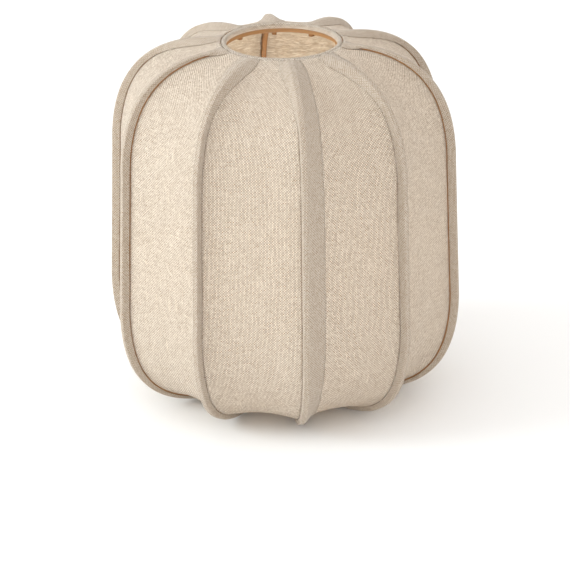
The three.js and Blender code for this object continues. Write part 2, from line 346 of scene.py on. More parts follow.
# Long loose straws lying across the cloth, along u
def makeStrawGroup():
    outputs = {"Colour": "Color", "Height": "Float"}
    tree, given, out = newTree("looseStraw", "ShaderNodeTree", {"UV": "Vector", **strawLining}, outputs)
    flat = add(tree, "ShaderNodeSeparateXYZ", [given["UV"]]).outputs
    bend = calc(tree, "SUBTRACT", noise(tree, given["UV"], 55, 2), 0.5)
    bend = calc(tree, "MULTIPLY", bend, 6 * mm)
    run = calc(tree, "DIVIDE", flat[0], given["Straw Length"])
    line = calc(tree, "DIVIDE", calc(tree, "ADD", flat[1], bend), given["Straw Width"])
    strands = noise(tree, joined(tree, run, line), 1.0, 3, 0.6)
    edges = calc(tree, "ABSOLUTE", calc(tree, "SUBTRACT", strands, 0.5))
    crease = ramp(tree, edges, 0.0, 0.06)
    # the gaps between straws come out darker: painted shade between the straws, over the straws' own random
    # tone
    tone = calc(tree, "MULTIPLY_ADD", strands, 1.1, calc(tree, "MULTIPLY_ADD", crease, 0.45, -0.35))
    colour = blendColours(tree, tone, given["Deep Straw"], given["Pale Straw"])
    feed(tree, out, {"Colour": colour, "Height": calc(tree, "MULTIPLY_ADD", crease, 0.5, strands)})
    return tree


weaveGroup = makeWeaveGroup()
strawGroup = makeStrawGroup()
grainGroup = makeGrainGroup()


def newMaterial(name):
    material = bpy.data.materials.new(name)
    material.use_nodes = True
    tree = material.node_tree
    tree.nodes.clear()
    shader = add(tree, "ShaderNodeBsdfPrincipled")
    surface = add(tree, "ShaderNodeOutputMaterial")
    tree.links.new(shader.outputs[0], surface.inputs[0])
    return material, tree, shader, surface


def placeGroup(tree, group, values):
    clothUv = add(tree, "ShaderNodeUVMap", uv_map="clothUv").outputs[0]
    return add(tree, "ShaderNodeGroup", {**values, "UV": clothUv}, node_tree=group).outputs


def bump(tree, height, distance):
    inputs = {"Strength": 1.0, "Distance": distance, "Height": height}
    return add(tree, "ShaderNodeBump", inputs).outputs[0]


# Cloth lets light through and is open between its yarns. Fibre adds long loose straws to its face.
def clothMaterial(name, values, throughLight, leastCover, fibre=0.0):
    material, tree, shader, surface = newMaterial(name)
    cloth = placeGroup(tree, weaveGroup, values)
    colour, height = cloth["Colour"], cloth["Height"]
    if fibre:
        straw = placeGroup(tree, strawGroup, strawLining)
        colour = blendColours(tree, fibre, colour, straw["Colour"])
        height = calc(tree, "MULTIPLY_ADD", straw["Height"], 2.0, calc(tree, "MULTIPLY", height, 0.4))
    cover = ramp(tree, cloth["Cover"], 0.0, 1.0, leastCover, 1.0, "LINEAR")
    feed(tree, shader.inputs, {"Base Color": colour, "Alpha": cover, "Normal": bump(tree, height, 0.3 * mm)})
    feed(tree, shader.inputs, {"Roughness": 0.92, "Specular IOR Level": 0.25})
    feed(tree, shader.inputs, {"Sheen Weight": 0.15, "Sheen Roughness": 0.5})
    back = add(tree, "ShaderNodeBsdfTranslucent", {"Color": colour})
    both = add(tree, "ShaderNodeMixShader", [throughLight, shader.outputs[0], back.outputs[0]])
    tree.links.new(both.outputs[0], surface.inputs[0])
    return material


def woodMaterial(name, values):
    material, tree, shader, surface = newMaterial(name)
    grain = placeGroup(tree, grainGroup, values)
    # every rib has a shade of its own
    own = add(tree, "ShaderNodeAttribute", attribute_name="pieceTone").outputs["Fac"]
    strength = ramp(tree, own, 0.0, 1.0, 0.82, 1.12, "LINEAR")
    inputs = {0: grain["Colour"], "Scale": strength}
    toned = add(tree, "ShaderNodeVectorMath", inputs, operation="SCALE").outputs[0]
    normal = bump(tree, grain["Height"], 0.12 * mm)
    feed(tree, shader.inputs, {"Base Color": toned, "Roughness": grain["Gloss"], "Normal": normal})
    return material


# Sprayed or plated metal: a fine skin on the surface, thinner where it has rubbed
def metalMaterial(name, colour, worn, metallic, roughness, grain):
    material, tree, shader, surface = newMaterial(name)
    place = add(tree, "ShaderNodeTexCoord").outputs["Object"]
    skin = noise(tree, place, grain, 3)
    rubbed = ramp(tree, noise(tree, place, 130, 4, 0.7), 0.56, 0.74)
    toned = blendColours(tree, rubbed, colour, worn)
    dull = ramp(tree, skin, 0.3, 0.7, roughness - 0.08, roughness + 0.1, "LINEAR")
    feed(tree, shader.inputs, {"Base Color": toned, "Metallic": metallic, "Roughness": dull})
    feed(tree, shader.inputs, {"Normal": bump(tree, skin, 0.08 * mm)})
    return material


# how much light goes through, and how opaque the cloth stays between its yarns
panelMaterial = clothMaterial("openLinenCloth", panelCloth, 0.3, 0.0)
liningMaterial = clothMaterial("strawFacedLinen", panelCloth, 0.3, 0.25, fibre=0.85)
tapeMaterial = clothMaterial("linenTape", tapeClothWithPaintedShade, 0.12, 0.7)
ribMaterial = woodMaterial("stainedRibWood", ribWood)
hoopMaterial = woodMaterial("stainedHoopWood", hoopWood)
whitePaint, wornPaint = (0.8, 0.78, 0.73, 1), (0.68, 0.65, 0.6, 1)
paintMaterial = metalMaterial("offWhitePowderCoat", whitePaint, wornPaint, 0.0, roughness=0.45, grain=2600)
brightZinc, dullZinc = (0.66, 0.66, 0.64, 1), (0.5, 0.49, 0.46, 1)
zincMaterial = metalMaterial("zincPlate", brightZinc, dullZinc, 1.0, roughness=0.3, grain=4200)
print("materials made")


def inRibPlane(radius, height, across=0.0):
    return np.stack(np.broadcast_arrays(across, -radius, height), axis=-1)


ribSection = {
    "depth": 16 * mm,
    "endDepth": 13 * mm,
    "taperLength": 45 * mm,
    "notch": 3.4 * mm,         # step down at both ends, past the hem's lip
    "tongue": 0.3 * mm,        # how far off the hoop the stepped end stops
    "edge": 0.55 * mm,
    "perCorner": 4,
}


# Rounded rectangle between two depths, outside half first
def stripSection(half, upper, lower, edge, perCorner):
    sweep = np.linspace(0, math.pi / 2, perCorner)
    quarters = ((-1, lower, 0.5), (-1, upper, 1.0), (1, upper, 1.5), (1, lower, 0.0))
    corners = []
    for side, depth, quarter in quarters:
        across, down = side * (half - edge), depth + (edge if depth == upper else -edge)
        angles = quarter * math.pi + sweep
        corners.append(np.stack([across + edge * np.cos(angles), down + edge * np.sin(angles)], axis=1))
    return np.concatenate(corners)


def ribPoints():
    depth = taperedDepth(ribSection["depth"], ribSection["endDepth"], ribSection["taperLength"])
    notch, tongue = ribSection["notch"], ribSection["tongue"]
    top, foot = crest[0], crest[-1]
    tops = [(top, 0.0), (top, notch), ((topHoopRadius + tongue, top[1]), notch)]
    feet = [(foot, 0.0), (foot, notch), ((bottomHoopRadius + tongue, foot[1]), notch)]
    places = [(p, crestInward[0], cut, depth[0]) for p, cut in tops[::-1]]
    places += [(crest[i], crestInward[i], 0.0, depth[i]) for i in range(1, len(crest) - 1)]
    places += [(p, crestInward[-1], cut, depth[-1]) for p, cut in feet]
    sections = []
    for point, into, upper, lower in places:
        loop = stripSection(ribThickness / 2, upper, lower, ribSection["edge"], ribSection["perCorner"])
        radius = point[0] + into[0] * loop[:, 1]
        height = point[1] + into[1] * loop[:, 1]
        sections.append(inRibPlane(radius, height, loop[:, 0]))
    return np.array(sections)


ribSections = ribPoints()
ribAround = np.linspace(0, 2 * (ribSection["depth"] + ribThickness), ribSections.shape[1] + 1)
ribDown = runLength(ribSections.mean(axis=1))


# Ends a tree with real geometry in the given material
def endWithMaterial(tree, geometry, material, out):
    real = add(tree, "GeometryNodeRealizeInstances", [geometry])
    finished = add(tree, "GeometryNodeSetMaterial", {"Geometry": real.outputs[0], "Material": material})
    tree.links.new(finished.outputs[0], out)


# One tree turns a finished shape to its own place round the shade and gives it a tone of its own
def makeTurnTree():
    inputs = {"Shape": "Geometry", "Turn": 0.0, "Tone Seed": 0, "Material": "Material"}
    tree, given, out = newTree("turnIntoPlace", "GeometryNodeTree", inputs, {"Shape": "Geometry"})
    rotation = add(tree, "ShaderNodeCombineXYZ", [0.0, 0.0, given["Turn"]]).outputs[0]
    placed = add(tree, "GeometryNodeTransform", {"Geometry": given["Shape"], "Rotation": rotation})
    chance = add(tree, "FunctionNodeRandomValue", {"Seed": given["Tone Seed"]}, data_type="FLOAT")
    toned = add(
        tree,
        "GeometryNodeStoreNamedAttribute",
        {"Geometry": placed.outputs[0], "Name": "pieceTone", "Value": chance.outputs[1]},
        data_type="FLOAT",
        domain="POINT",
    )
    endWithMaterial(tree, toned.outputs[0], given["Material"], out[0])
    return tree


# Runs a tree on a piece with the given inputs and leaves the result as a plain mesh in a new piece
def bakeTree(source, tree, values, name):
    modifier = source.modifiers.new("build", "NODES")
    modifier.node_group = tree
    for item in tree.interface.items_tree:
        if item.item_type == "SOCKET" and item.in_out == "INPUT" and item.name in values:
            modifier[item.identifier] = values[item.name]
    source.update_tag()
    evaluated = source.evaluated_get(bpy.context.evaluated_depsgraph_get())
    mesh = bpy.data.meshes.new_from_object(evaluated)
    mesh.name = name
    source.modifiers.remove(modifier)
    piece = bpy.data.objects.new(name, mesh)
    scene.collection.objects.link(piece)
    return piece


def discard(piece):
    bpy.data.objects.remove(piece, do_unlink=True)


def finish(piece, slot, *nodes):
    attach(piece, "root")
    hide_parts(*nodes)


turnTree = makeTurnTree()


# Pieces of one shape, numbered like the nodes that they stand for
def turnedCopies(pattern, name, node, numbers, turns, material, slot):
    for seed, (number, turn) in enumerate(zip(numbers, turns)):
        values = {"Turn": turn, "Tone Seed": seed, "Material": material}
        piece = bakeTree(pattern, turnTree, values, f"{name}_{number}")
        finish(piece, slot, f"{node}_{number}")
    discard(pattern)


ribNumbers = [f"{i + 1:02d}" for i in range(ribCount)]
ribTurns = [i * ribAngle for i in range(ribCount)]
ribPattern = addPiece("ribPattern", *loftMesh(ribSections, ribAround, ribDown), ribMaterial)
turnedCopies(ribPattern, "ribStrip", "rib", ribNumbers, ribTurns, ribMaterial, "rib_wood")


# A band that runs once round the shade, from a section of (radius, height) points
def ringMesh(section, around=240):
    section = np.asarray(section, float)
    angles = np.arange(around) / around * math.tau
    radius = np.broadcast_to(section[:, 0], (around, len(section)))
    height = np.broadcast_to(section[:, 1], (around, len(section)))
    ring = np.stack([radius * np.sin(angles)[:, None], -radius * np.cos(angles)[:, None], height], axis=-1)
    closed = np.vstack([section, section[:1]])
    return loftMesh(ring[::-1], runLength(closed), angles * section[:, 0].mean(), endless=True)


def roundedBox(inner, outer, bottom, top, edge, perCorner=4):
    sweep = np.linspace(0, math.pi / 2, perCorner)
    corners = (
        (outer - edge, bottom + edge, -0.5),
        (outer - edge, top - edge, 0.0),
        (inner + edge, top - edge, 0.5),
        (inner + edge, bottom + edge, 1.0),
    )
    points = []
    for radius, height, quarter in corners:
        angles = quarter * math.pi + sweep
        points += zip(radius + edge * np.cos(angles), height + edge * np.sin(angles))
    return points


hoopEdge = 1.2 * mm
hoopThickness = 3.5 * mm
for node, radius in (("top_hoop", topHoopRadius), ("bottom_hoop", bottomHoopRadius)):
    section = roundedBox(radius - hoopThickness, radius, low(node)[2], high(node)[2], hoopEdge)
    hoop = addPiece(f"{node}_strip", *ringMesh(section), hoopMaterial)
    finish(hoop, "hoop_wood", node)

print("ribs and hoops made")


# Settles a net whose edge is fixed: at every point the pulls along and across the cloth balance
def settle(net, across):
    rows, cols = net.shape[0] - 2, net.shape[1] - 2

    def stiffness(n):
        return np.diag(np.full(n, 2.0)) - np.diag(np.ones(n - 1), 1) - np.diag(np.ones(n - 1), -1)

    rowPulls, rowShapes = np.linalg.eigh(stiffness(rows))
    colPulls, colShapes = np.linalg.eigh(stiffness(cols))
    force = np.zeros((rows, cols, 3))
    force[0] += net[0, 1:-1]
    force[-1] += net[-1, 1:-1]
    force[:, 0] += across * net[1:-1, 0]
    force[:, -1] += across * net[1:-1, -1]
    for axis in range(3):
        inShapes = rowShapes.T @ force[..., axis] @ colShapes
        inShapes /= rowPulls[:, None] + across * colPulls[None, :]
        net[1:-1, 1:-1, axis] = rowShapes @ inShapes @ colShapes.T
    return net


panelCut = {
    "columns": 44,
    "thickness": 0.5 * mm,
    "pull": 1.9,
    "pullSpread": 0.25,
    "ribGap": 0.35 * mm,
    "topRise": 3.2 * mm,
    "slack": 0.45 * mm,
    "waves": 9,
    "turning": (4 * mm, 6 * mm),   # turned under at the sides and at the ends, counted in the flat size
    "goreShare": 0.97,             # flat area against the area of the stretched panel
    "seed": 11,
}


# Outer face of the panel between the rib at -Y and the next one, as rows from top to bottom
def panelNet(rng):
    root = crest + crestInward * panelDepth[:, None]
    sweep = ribAngle / 2 - np.arcsin((ribThickness / 2 + panelCut["ribGap"]) / root[:, 0])
    t = np.linspace(-1, 1, panelCut["columns"] + 1)
    angle = sweep[:, None] * t
    rise = np.zeros_like(angle)
    rise[0] = panelCut["topRise"] * (1 - t**6)
    net = np.stack(
        [root[:, :1] * np.sin(angle), -root[:, :1] * np.cos(angle), root[:, 1:] + rise],
        axis=-1,
    )
    stepAlong = crestLength / (len(crest) - 1)
    stepAcross = 0.75 * ribLine["shoulderRadius"] * ribAngle / panelCut["columns"]
    pull = panelCut["pull"] * (1 + panelCut["pullSpread"] * rng.uniform(-1, 1))
    return settle(net, pull * (stepAlong / stepAcross) ** 2)


def netNormals(net):
    down, side = np.gradient(net, axis=0), np.gradient(net, axis=1)
    normals = np.cross(side, -down)
    return normals / np.linalg.norm(normals, axis=2)[..., None]


# Distance along a net's rows or columns from its middle one
def fromMiddle(net, axis):
    run = runLength(net, axis)
    return run - np.take(run, [net.shape[axis] // 2], axis)


# Out over a net and back along its inside, from bottom to top: first its points, then a value for each
def clothSections(net, thickness, angle):
    inner = net - netNormals(net) * thickness
    return turned(np.concatenate([net, inner[:, ::-1]], axis=1), angle)[::-1]


def thereAndBack(values):
    return np.concatenate([values, values[:, ::-1], values[:, :1]], axis=1)[::-1]


# Faint slack between the ribs: long low waves that die out at every held edge
def slackWaves(rng, v, t):
    held = (1 - t**2)[None, :] * np.sin(np.pi * np.clip(v / v[-1], 0, 1))[:, None] ** 0.5
    waves = np.zeros((len(v), len(t)))
    for wave in range(panelCut["waves"]):
        runs, turns = rng.uniform(2, 26), rng.uniform(-1.5, 1.5)
        phase = rng.uniform(0, math.tau)
        waves += np.sin(runs * v[:, None] / 0.1 + turns * t[None, :] * 2 + phase) / (1 + 0.3 * runs)
    return held * waves * panelCut["slack"]


# Slubs are short thick places in the yarn. They lie scattered along the yarns on a panel's outer face.
slubYarn = {"Density": 1100.0, "Least Length": 5 * mm, "Most Length": 17 * mm, "Thickness": 0.3 * mm}


def makeSlubTree():
    inputs = {"Cloth": "Geometry", **slubYarn, "Seed": 0, "Material": "Material"}
    tree, given, out = newTree("slubsOnCloth", "GeometryNodeTree", inputs, {"Slubs": "Geometry"})
    outside = add(tree, "GeometryNodeInputNamedAttribute", ["outerFace"], data_type="FLOAT").outputs[0]
    away = add(tree, "FunctionNodeCompare", [outside, 0.5], data_type="FLOAT", operation="GREATER_THAN")
    seed = given["Seed"]
    inputs = {"Mesh": given["Cloth"], "Selection": away.outputs[0], "Density": given["Density"], "Seed": seed}
    points = add(tree, "GeometryNodeDistributePointsOnFaces", inputs, distribute_method="RANDOM")
    along = add(tree, "GeometryNodeInputNamedAttribute", ["warpWay"], data_type="FLOAT_VECTOR").outputs[0]
    # half of them follow the warp and half the weft
    coin = add(tree, "FunctionNodeRandomValue", {"Probability": 0.5, "Seed": seed}, data_type="BOOLEAN")
    normal = points.outputs["Normal"]
    weft = add(tree, "ShaderNodeVectorMath", [normal, along], operation="CROSS_PRODUCT").outputs[0]
    way = add(tree, "GeometryNodeSwitch", [coin.outputs[3], along, weft], input_type="VECTOR").outputs[0]
    turn = add(tree, "FunctionNodeAlignRotationToVector", [None, None, way], axis="Z").outputs[0]
    spindle = add(tree, "GeometryNodeMeshUVSphere", [6, 6, 0.5])
    inputs = {2: given["Least Length"], 3: given["Most Length"], "Seed": seed}
    length = add(tree, "FunctionNodeRandomValue", inputs, data_type="FLOAT")
    size = joined(tree, given["Thickness"], given["Thickness"], length.outputs[1])
    inputs = {"Points": points.outputs["Points"], "Instance": spindle.outputs["Mesh"], "Rotation": turn}
    placed = add(tree, "GeometryNodeInstanceOnPoints", {**inputs, "Scale": size})
    endWithMaterial(tree, placed.outputs[0], given["Material"], out[0])
    return tree


# Uneven yarn without a weave, for slubs
def yarnMaterial(name, pale, brown):
    material, tree, shader, surface = newMaterial(name)
    place = add(tree, "ShaderNodeTexCoord").outputs["Object"]
    patches = ramp(tree, noise(tree, place, 90, 3, 0.6), 0.35, 0.65)
    hairs = noise(tree, place, 2400, 3, 0.7)
    colour = blendColours(tree, patches, brown, pale)
    colour = blendColours(tree, hairs, colour, pale)
    dull = ramp(tree, hairs, 0.3, 0.7, 0.8, 0.95, "LINEAR")
    normal = bump(tree, hairs, 0.1 * mm)
    feed(tree, shader.inputs, {"Base Color": colour, "Roughness": dull, "Normal": normal})
    return material


slubMaterial = yarnMaterial("slubYarn", (0.95, 0.86, 0.72, 1), (0.56, 0.41, 0.27, 1))
slubTree = makeSlubTree()


def makePanel(index):
    rng = np.random.default_rng(panelCut["seed"] + index)
    net = panelNet(rng)
    normals = netNormals(net)
    t = np.linspace(-1, 1, net.shape[1])
    net = net + normals * slackWaves(rng, crestAlong, t)[..., None]
    across, down = fromMiddle(net, 1), fromMiddle(net, 0)
    angle, shift = (index + 0.5) * ribAngle, rng.uniform(0, 0.2, 2)
    sections = clothSections(net, panelCut["thickness"], angle)
    skin = loftMesh(sections, thereAndBack(across + shift[0]), thereAndBack(down + shift[1]))
    panel = addPiece(f"panelCloth_{ribNumbers[index]}", *skin, panelMaterial)
    panel.data.materials.append(liningMaterial)
    half = net.shape[1]
    sides = [j >= half for i in range(len(net) - 1) for j in range(2 * half)]
    sides += [False] * (len(panel.data.polygons) - len(sides))
    panel.data.polygons.foreach_set("material_index", sides)
    # the slubs need to know which skin is outside and which way the warp runs
    onOutside = np.tile(np.arange(2 * half) < half, len(net)).astype(np.float32)
    panel.data.attributes.new("outerFace", "FLOAT", "POINT").data.foreach_set("value", onOutside)
    warpWay = np.gradient(sections, axis=0).reshape(-1, 3)
    warpWay /= np.linalg.norm(warpWay, axis=1)[:, None]
    panel.data.attributes.new("warpWay", "FLOAT_VECTOR", "POINT").data.foreach_set("vector", warpWay.ravel())
    finish(panel, "panel_cloth", f"panel_{ribNumbers[index]}")
    values = {**slubYarn, "Seed": index, "Material": slubMaterial}
    slubs = bakeTree(panel, slubTree, values, f"slubs_{ribNumbers[index]}")
    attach(slubs, "root")
    return net, netNormals(net)


panelFaces = [makePanel(index) for index in range(ribCount)]
print("panels made")

tapeCut = {
    "perSide": 14,
    "onCrest": 3,              # columns that lie on the rib's edge
    "thickness": 0.45 * mm,
    "clearance": 0.15 * mm,
    "corner": 0.8 * mm,
    "lap": 12 * mm,            # how far a tape lies out over the panels at the top hoop
    "pressed": 3 * mm,         # width at its edge that lies on the panel
    "waver": 0.3 * mm,
    "seed": 40,
}
tapeOffset = tapeCut["clearance"] + tapeCut["thickness"]
# Laid by hand, so each rib has its own: wood left showing under the tape's edge, and length of the lap
tapeBare = [v * mm for v in (0.6, 0.6, 1.9, 1.2, 0.9, 1.1, 0.9, 1.3, 1.9, 0.6)]
tapeLapLength = [v * mm for v in (120, 120, 24, 90, 110, 120, 110, 90, 24, 120)]
# The cover is closed along one rib, where the last panel's edge laps over the first
closingSeam = {"rib": 0, "lap": 18.5 * mm, "footShare": 0.55, "footLength": 170 * mm}


# Points over a panel's outer face at a distance from its edge, one for each row
def overPanel(index, distance, fromLeft, lift):
    net, normals = panelFaces[index % ribCount]
    if not fromLeft:
        net, normals = net[:, ::-1], normals[:, ::-1]
    raised = net + normals * lift
    along = runLength(net, axis=1)
    points = [
        [np.interp(distance[i], along[i], raised[i, :, axis]) for axis in range(3)] for i in range(len(net))
    ]
    return turned(np.array(points), ribAngle / 2 if fromLeft else -ribAngle / 2)


# One side of a tape as rows of points from the rib's middle outwards. It is folded down the rib's flank,
# and where it laps it leaves the rib's edge and runs straight out to the panel.
def tapeSide(index, side, line, into, lead, lapped, lapWidth, wander):
    rows, count = len(line), tapeCut["perSide"]
    half = ribThickness / 2 + tapeOffset
    depth = np.concatenate([np.full(lead, panelDepth[0]), panelDepth[1:]])
    reach = half + depth + tapeOffset - tapeBare[index] + wander
    folded = np.empty((rows, count, 3))
    for i in range(rows):
        s = np.linspace(0, 1, count) * reach[i]
        bend = smooth(s, half - tapeCut["corner"], half + tapeCut["corner"] * 0.4) * math.pi / 2
        middle = (bend[1:] + bend[:-1]) / 2
        x = np.r_[0, np.cumsum(np.diff(s) * np.cos(middle))]
        d = np.r_[0, np.cumsum(np.diff(s) * np.sin(middle))]
        folded[i] = inRibPlane(line[i, 0] + into[i, 0] * d, line[i, 1] + into[i, 1] * d, side * x)
    if not np.any(lapped > 0):
        return folded
    panel = index if side > 0 else index - 1
    width = lapWidth[lead - 1 :]
    ends = [overPanel(panel, width - back, side > 0, tapeOffset) for back in (tapeCut["pressed"], 0.0)]
    step = line[:lead] - line[lead]
    early = np.stack([np.zeros(lead), -step[:, 0], step[:, 1]], axis=-1)
    ends = [np.concatenate([end[1] + early, end[1:]]) for end in ends]
    onCrest = tapeCut["onCrest"]
    corner = inRibPlane(line[:, 0], line[:, 1], side * (half - tapeCut["corner"] * 0.5))
    middle = inRibPlane(line[:, 0], line[:, 1])
    out = np.empty_like(folded)
    for j in range(count):
        if j <= onCrest:
            out[:, j] = middle + (corner - middle) * j / onCrest
        elif j < count - 1:
            out[:, j] = corner + (ends[0] - corner) * (j - onCrest) / (count - 2 - onCrest)
        else:
            out[:, j] = ends[1]
    return folded + (out - folded) * lapped[:, None, None]


def makeTape(index):
    rng = np.random.default_rng(tapeCut["seed"] + index)
    start = crest[1] - crestInward[1] * tapeOffset
    rise = [(-3.6 * mm, -0.55 * mm), (-2.9 * mm, -0.3 * mm), (-1.7 * mm, -0.1 * mm)]
    line = np.vstack([start + rise, crest[1:] - crestInward[1:] * tapeOffset])
    into = np.vstack([[(0, -1)] * len(rise), crestInward[1:]])
    run = runLength(line)
    fromFoot = run[-1] - run
    wander = np.cumsum(rng.normal(0, 1, (2, len(line))), axis=1)
    wander -= np.linspace(0, 1, len(line)) * wander[:, -1:]
    wander *= tapeCut["waver"] / 6
    lapLength = tapeLapLength[index]
    lapped = [1 - smooth(run, 4 * mm, lapLength)] * 2
    lapWidth = [tapeCut["lap"] - 4 * mm * (1 - smooth(run, 0, 30 * mm))] * 2
    if index == closingSeam["rib"]:
        atFoot = 1 - smooth(fromFoot, 0, closingSeam["footLength"])
        seamWidth = closingSeam["lap"] * (1 - (1 - closingSeam["footShare"]) * atFoot)
        nearTop = 1 - smooth(run, 0, lapLength)
        lapped = [lapped[0], np.ones(len(line))]
        lapWidth = [lapWidth[0], seamWidth + (lapWidth[0] - seamWidth) * nearTop]
    sides = [
        tapeSide(index, side, line, into, len(rise), lapped[k], lapWidth[k] + wander[k], wander[k])
        for k, side in enumerate((-1, 1))
    ]
    net = np.concatenate([sides[0][:, ::-1], sides[1][:, 1:]], axis=1)
    across, shift = fromMiddle(net, 1), rng.uniform(0, 0.2, 2)
    sections = clothSections(net, tapeCut["thickness"], ribTurns[index])
    skin = loftMesh(sections, thereAndBack(across + shift[0]), (run + shift[1])[::-1])
    tape = addPiece(f"ribTape_{ribNumbers[index]}_cloth", *skin, tapeMaterial)
    finish(tape, "tape_cloth", f"rib_tape_{ribNumbers[index]}")


for index in range(ribCount):
    makeTape(index)
print("tapes made")

hemCut = {
    "thickness": 0.45 * mm,
    "clearance": 0.2 * mm,
    "inside": 5.2 * mm,        # how far it comes down inside the hoop
    "lip": 2 * mm,             # and outside
    "corner": 1.7 * mm,
    "ease": 1.5 * mm,          # added to its flat width for the bends
}


# Cloth binding folded over a hoop's free edge, as a closed section of (radius, height) points
def hemSection(node, radius, side):
    t = hemCut["thickness"]
    space = hemCut["clearance"] + t
    hoop = node.replace("hem", "hoop")
    face = high(hoop)[2] + space if side > 0 else low(hoop)[2] - space
    inner, outer = radius - hoopThickness - space, radius + space
    corner = hemCut["corner"]
    sweep = np.linspace(0, math.pi / 2, 6)
    outside = [(inner, -hemCut["inside"])]
    outside += [(inner + corner - corner * math.cos(a), -corner + corner * math.sin(a)) for a in sweep]
    outside += [(outer - corner + corner * math.sin(a), -corner + corner * math.cos(a)) for a in sweep]
    outside += [(outer, -hemCut["lip"])]
    outside = np.array(outside)
    run = np.gradient(outside, axis=0)
    run /= np.linalg.norm(run, axis=1)[:, None]
    into = np.stack([run[:, 1], -run[:, 0]], axis=1)
    inside = outside + into * t * 0.9
    section = np.vstack([outside, inside[::-1]])
    section[:, 1] = face + side * section[:, 1]
    return section if side < 0 else section[::-1]


for node, radius, side in (("top_hem", topHoopRadius, 1), ("bottom_hem", bottomHoopRadius, -1)):
    hem = addPiece(f"{node}_cloth", *ringMesh(hemSection(node, radius, side), around=288), panelMaterial)
    finish(hem, "tape_cloth", node)
print("hems made")


# Fitter inside the bottom hoop
fitterCut = {
    "hole": 21 * mm,
    "edge": 0.7 * mm,
    "rodRadius": 2 * mm,
    "rodSides": 20,
    "weld": 3.2 * mm,          # radius of the weld where a rod meets the ring
    "flatHalf": 5.5 * mm,      # half the width of a rod where it is pressed onto the tab
    "weldLength": 3 * mm,
    "plateThickness": 1.5 * mm,
    "plateRound": 1.6 * mm,
    "plateBevel": 0.25 * mm,
    "holeRadius": 1.55 * mm,
}
screwCut = {
    "sides": 32,
    "recess": 0.85 * mm,
    "recessHalf": 0.36 * mm,
    "recessRadius": 1.6,       # in millimetres, like the profiles
    "crown": ((0.1, 0.0), (0.3, 0.0), (0.5, 0.0), (0.75, 0.02), (1.0, 0.04), (1.25, 0.08), (1.5, 0.13)),
    "rim": ((1.75, 0.18), (2.1, 0.3), (2.5, 0.5), (2.8, 0.85), (2.9, 1.2), (2.85, 1.5)),
    "neck": ((1.2, 1.5), (1.2, 2.6)),
    "threads": 5,
    "threadPitch": 0.55,
}


def emptyUv(faces):
    return [(0.0, 0.0)] * sum(len(face) for face in faces)


# Skin over a row of closed loops, with a fan at each end
def loopsMesh(loops):
    loops = np.asarray(loops)
    rows, size = loops.shape[:2]
    points = loops.reshape(-1, 3).tolist()
    faces = []
    for i in range(rows - 1):
        for j in range(size):
            n = (j + 1) % size
            faces.append((i * size + j, i * size + n, (i + 1) * size + n, (i + 1) * size + j))
    for row, flip in ((0, True), (rows - 1, False)):
        points.append(loops[row].mean(axis=0).tolist())
        for j in range(size):
            face = (row * size + j, row * size + (j + 1) % size, len(points) - 1)
            faces.append(face[::-1] if flip else face)
    return points, faces, emptyUv(faces)


ringLow, ringHigh = low("fitter_ring"), high("fitter_ring")
fitterHeight = (ringLow[2] + ringHigh[2]) / 2
section = roundedBox(fitterCut["hole"], ringHigh[0], ringLow[2], ringHigh[2], fitterCut["edge"], 5)
fitterRing = addPiece("fitterRing", *ringMesh(section, around=128), paintMaterial)
finish(fitterRing, "fitter_steel", "fitter_ring")


# Rod along +Y, welded to the ring at one end and pressed flat onto its tab at the other
def rodMesh():
    start, end = ringHigh[0] - 0.4 * mm, high("fitter_arm_1")[1] - fitterCut["plateThickness"]
    sweep = np.arange(fitterCut["rodSides"]) / fitterCut["rodSides"] * math.tau
    loops = []
    for t in np.linspace(0, 1, 40):
        y = start + (end - start) * t
        weld = 1 - smooth(y - start, 0, fitterCut["weldLength"])
        press = smooth(y, end - 11 * mm, end - 2 * mm)
        wide = fitterCut["rodRadius"] + (fitterCut["weld"] - fitterCut["rodRadius"]) * weld
        wide += (fitterCut["flatHalf"] - fitterCut["rodRadius"]) * press * 0.55
        thick = fitterCut["rodRadius"] * (1 - 0.35 * weld) * (1 - 0.45 * press)
        ring = [(wide * math.cos(a), y, fitterHeight + thick * math.sin(a)) for a in sweep]
        loops.append(ring[::-1])
    return loopsMesh(loops)


# Tab with rounded ends and two screw holes, drawn flat and stood up against the hoop
def tabMesh():
    armLow, armHigh = low("fitter_arm_1"), high("fitter_arm_1")
    halfWidth, halfHeight = armHigh[0], (armHigh[2] - armLow[2]) / 2
    thickness, bevel = fitterCut["plateThickness"], fitterCut["plateBevel"]
    flat = bpy.data.curves.new("tab", "CURVE")
    flat.dimensions, flat.fill_mode = "2D", "BOTH"
    flat.extrude, flat.bevel_depth, flat.bevel_resolution = thickness / 2 - bevel, bevel, 2
    r = fitterCut["plateRound"]
    outline = []
    for cx, cz, begin in ((1, 1, 0.0), (-1, 1, 0.5), (-1, -1, 1.0), (1, -1, 1.5)):
        for a in np.linspace(0, math.pi / 2, 7):
            x = cx * (halfWidth - bevel - r) + r * math.cos(begin * math.pi + a)
            z = cz * (halfHeight - bevel - r) + r * math.sin(begin * math.pi + a)
            outline.append((x, z))
    hole = fitterCut["holeRadius"] + bevel
    sweep = np.linspace(0, math.tau, 24, endpoint=False)
    holes = [[(x + hole * math.cos(a), hole * math.sin(a)) for a in sweep] for x in screwPlaces]
    for loop in [outline] + holes:
        spline = flat.splines.new("POLY")
        spline.points.add(len(loop) - 1)
        spline.points.foreach_set("co", [value for x, z in loop for value in (x, z, 0.0, 1.0)])
        spline.use_cyclic_u = True
    holder = bpy.data.objects.new("tab", flat)
    scene.collection.objects.link(holder)
    mesh = bpy.data.meshes.new_from_object(holder.evaluated_get(bpy.context.evaluated_depsgraph_get()))
    discard(holder)
    x, z, y = np.array([v.co[:] for v in mesh.vertices]).T
    placed = np.stack([-x, armHigh[1] - thickness / 2 + y, fitterHeight + z], axis=-1)
    return placed.tolist(), [tuple(face.vertices) for face in mesh.polygons]


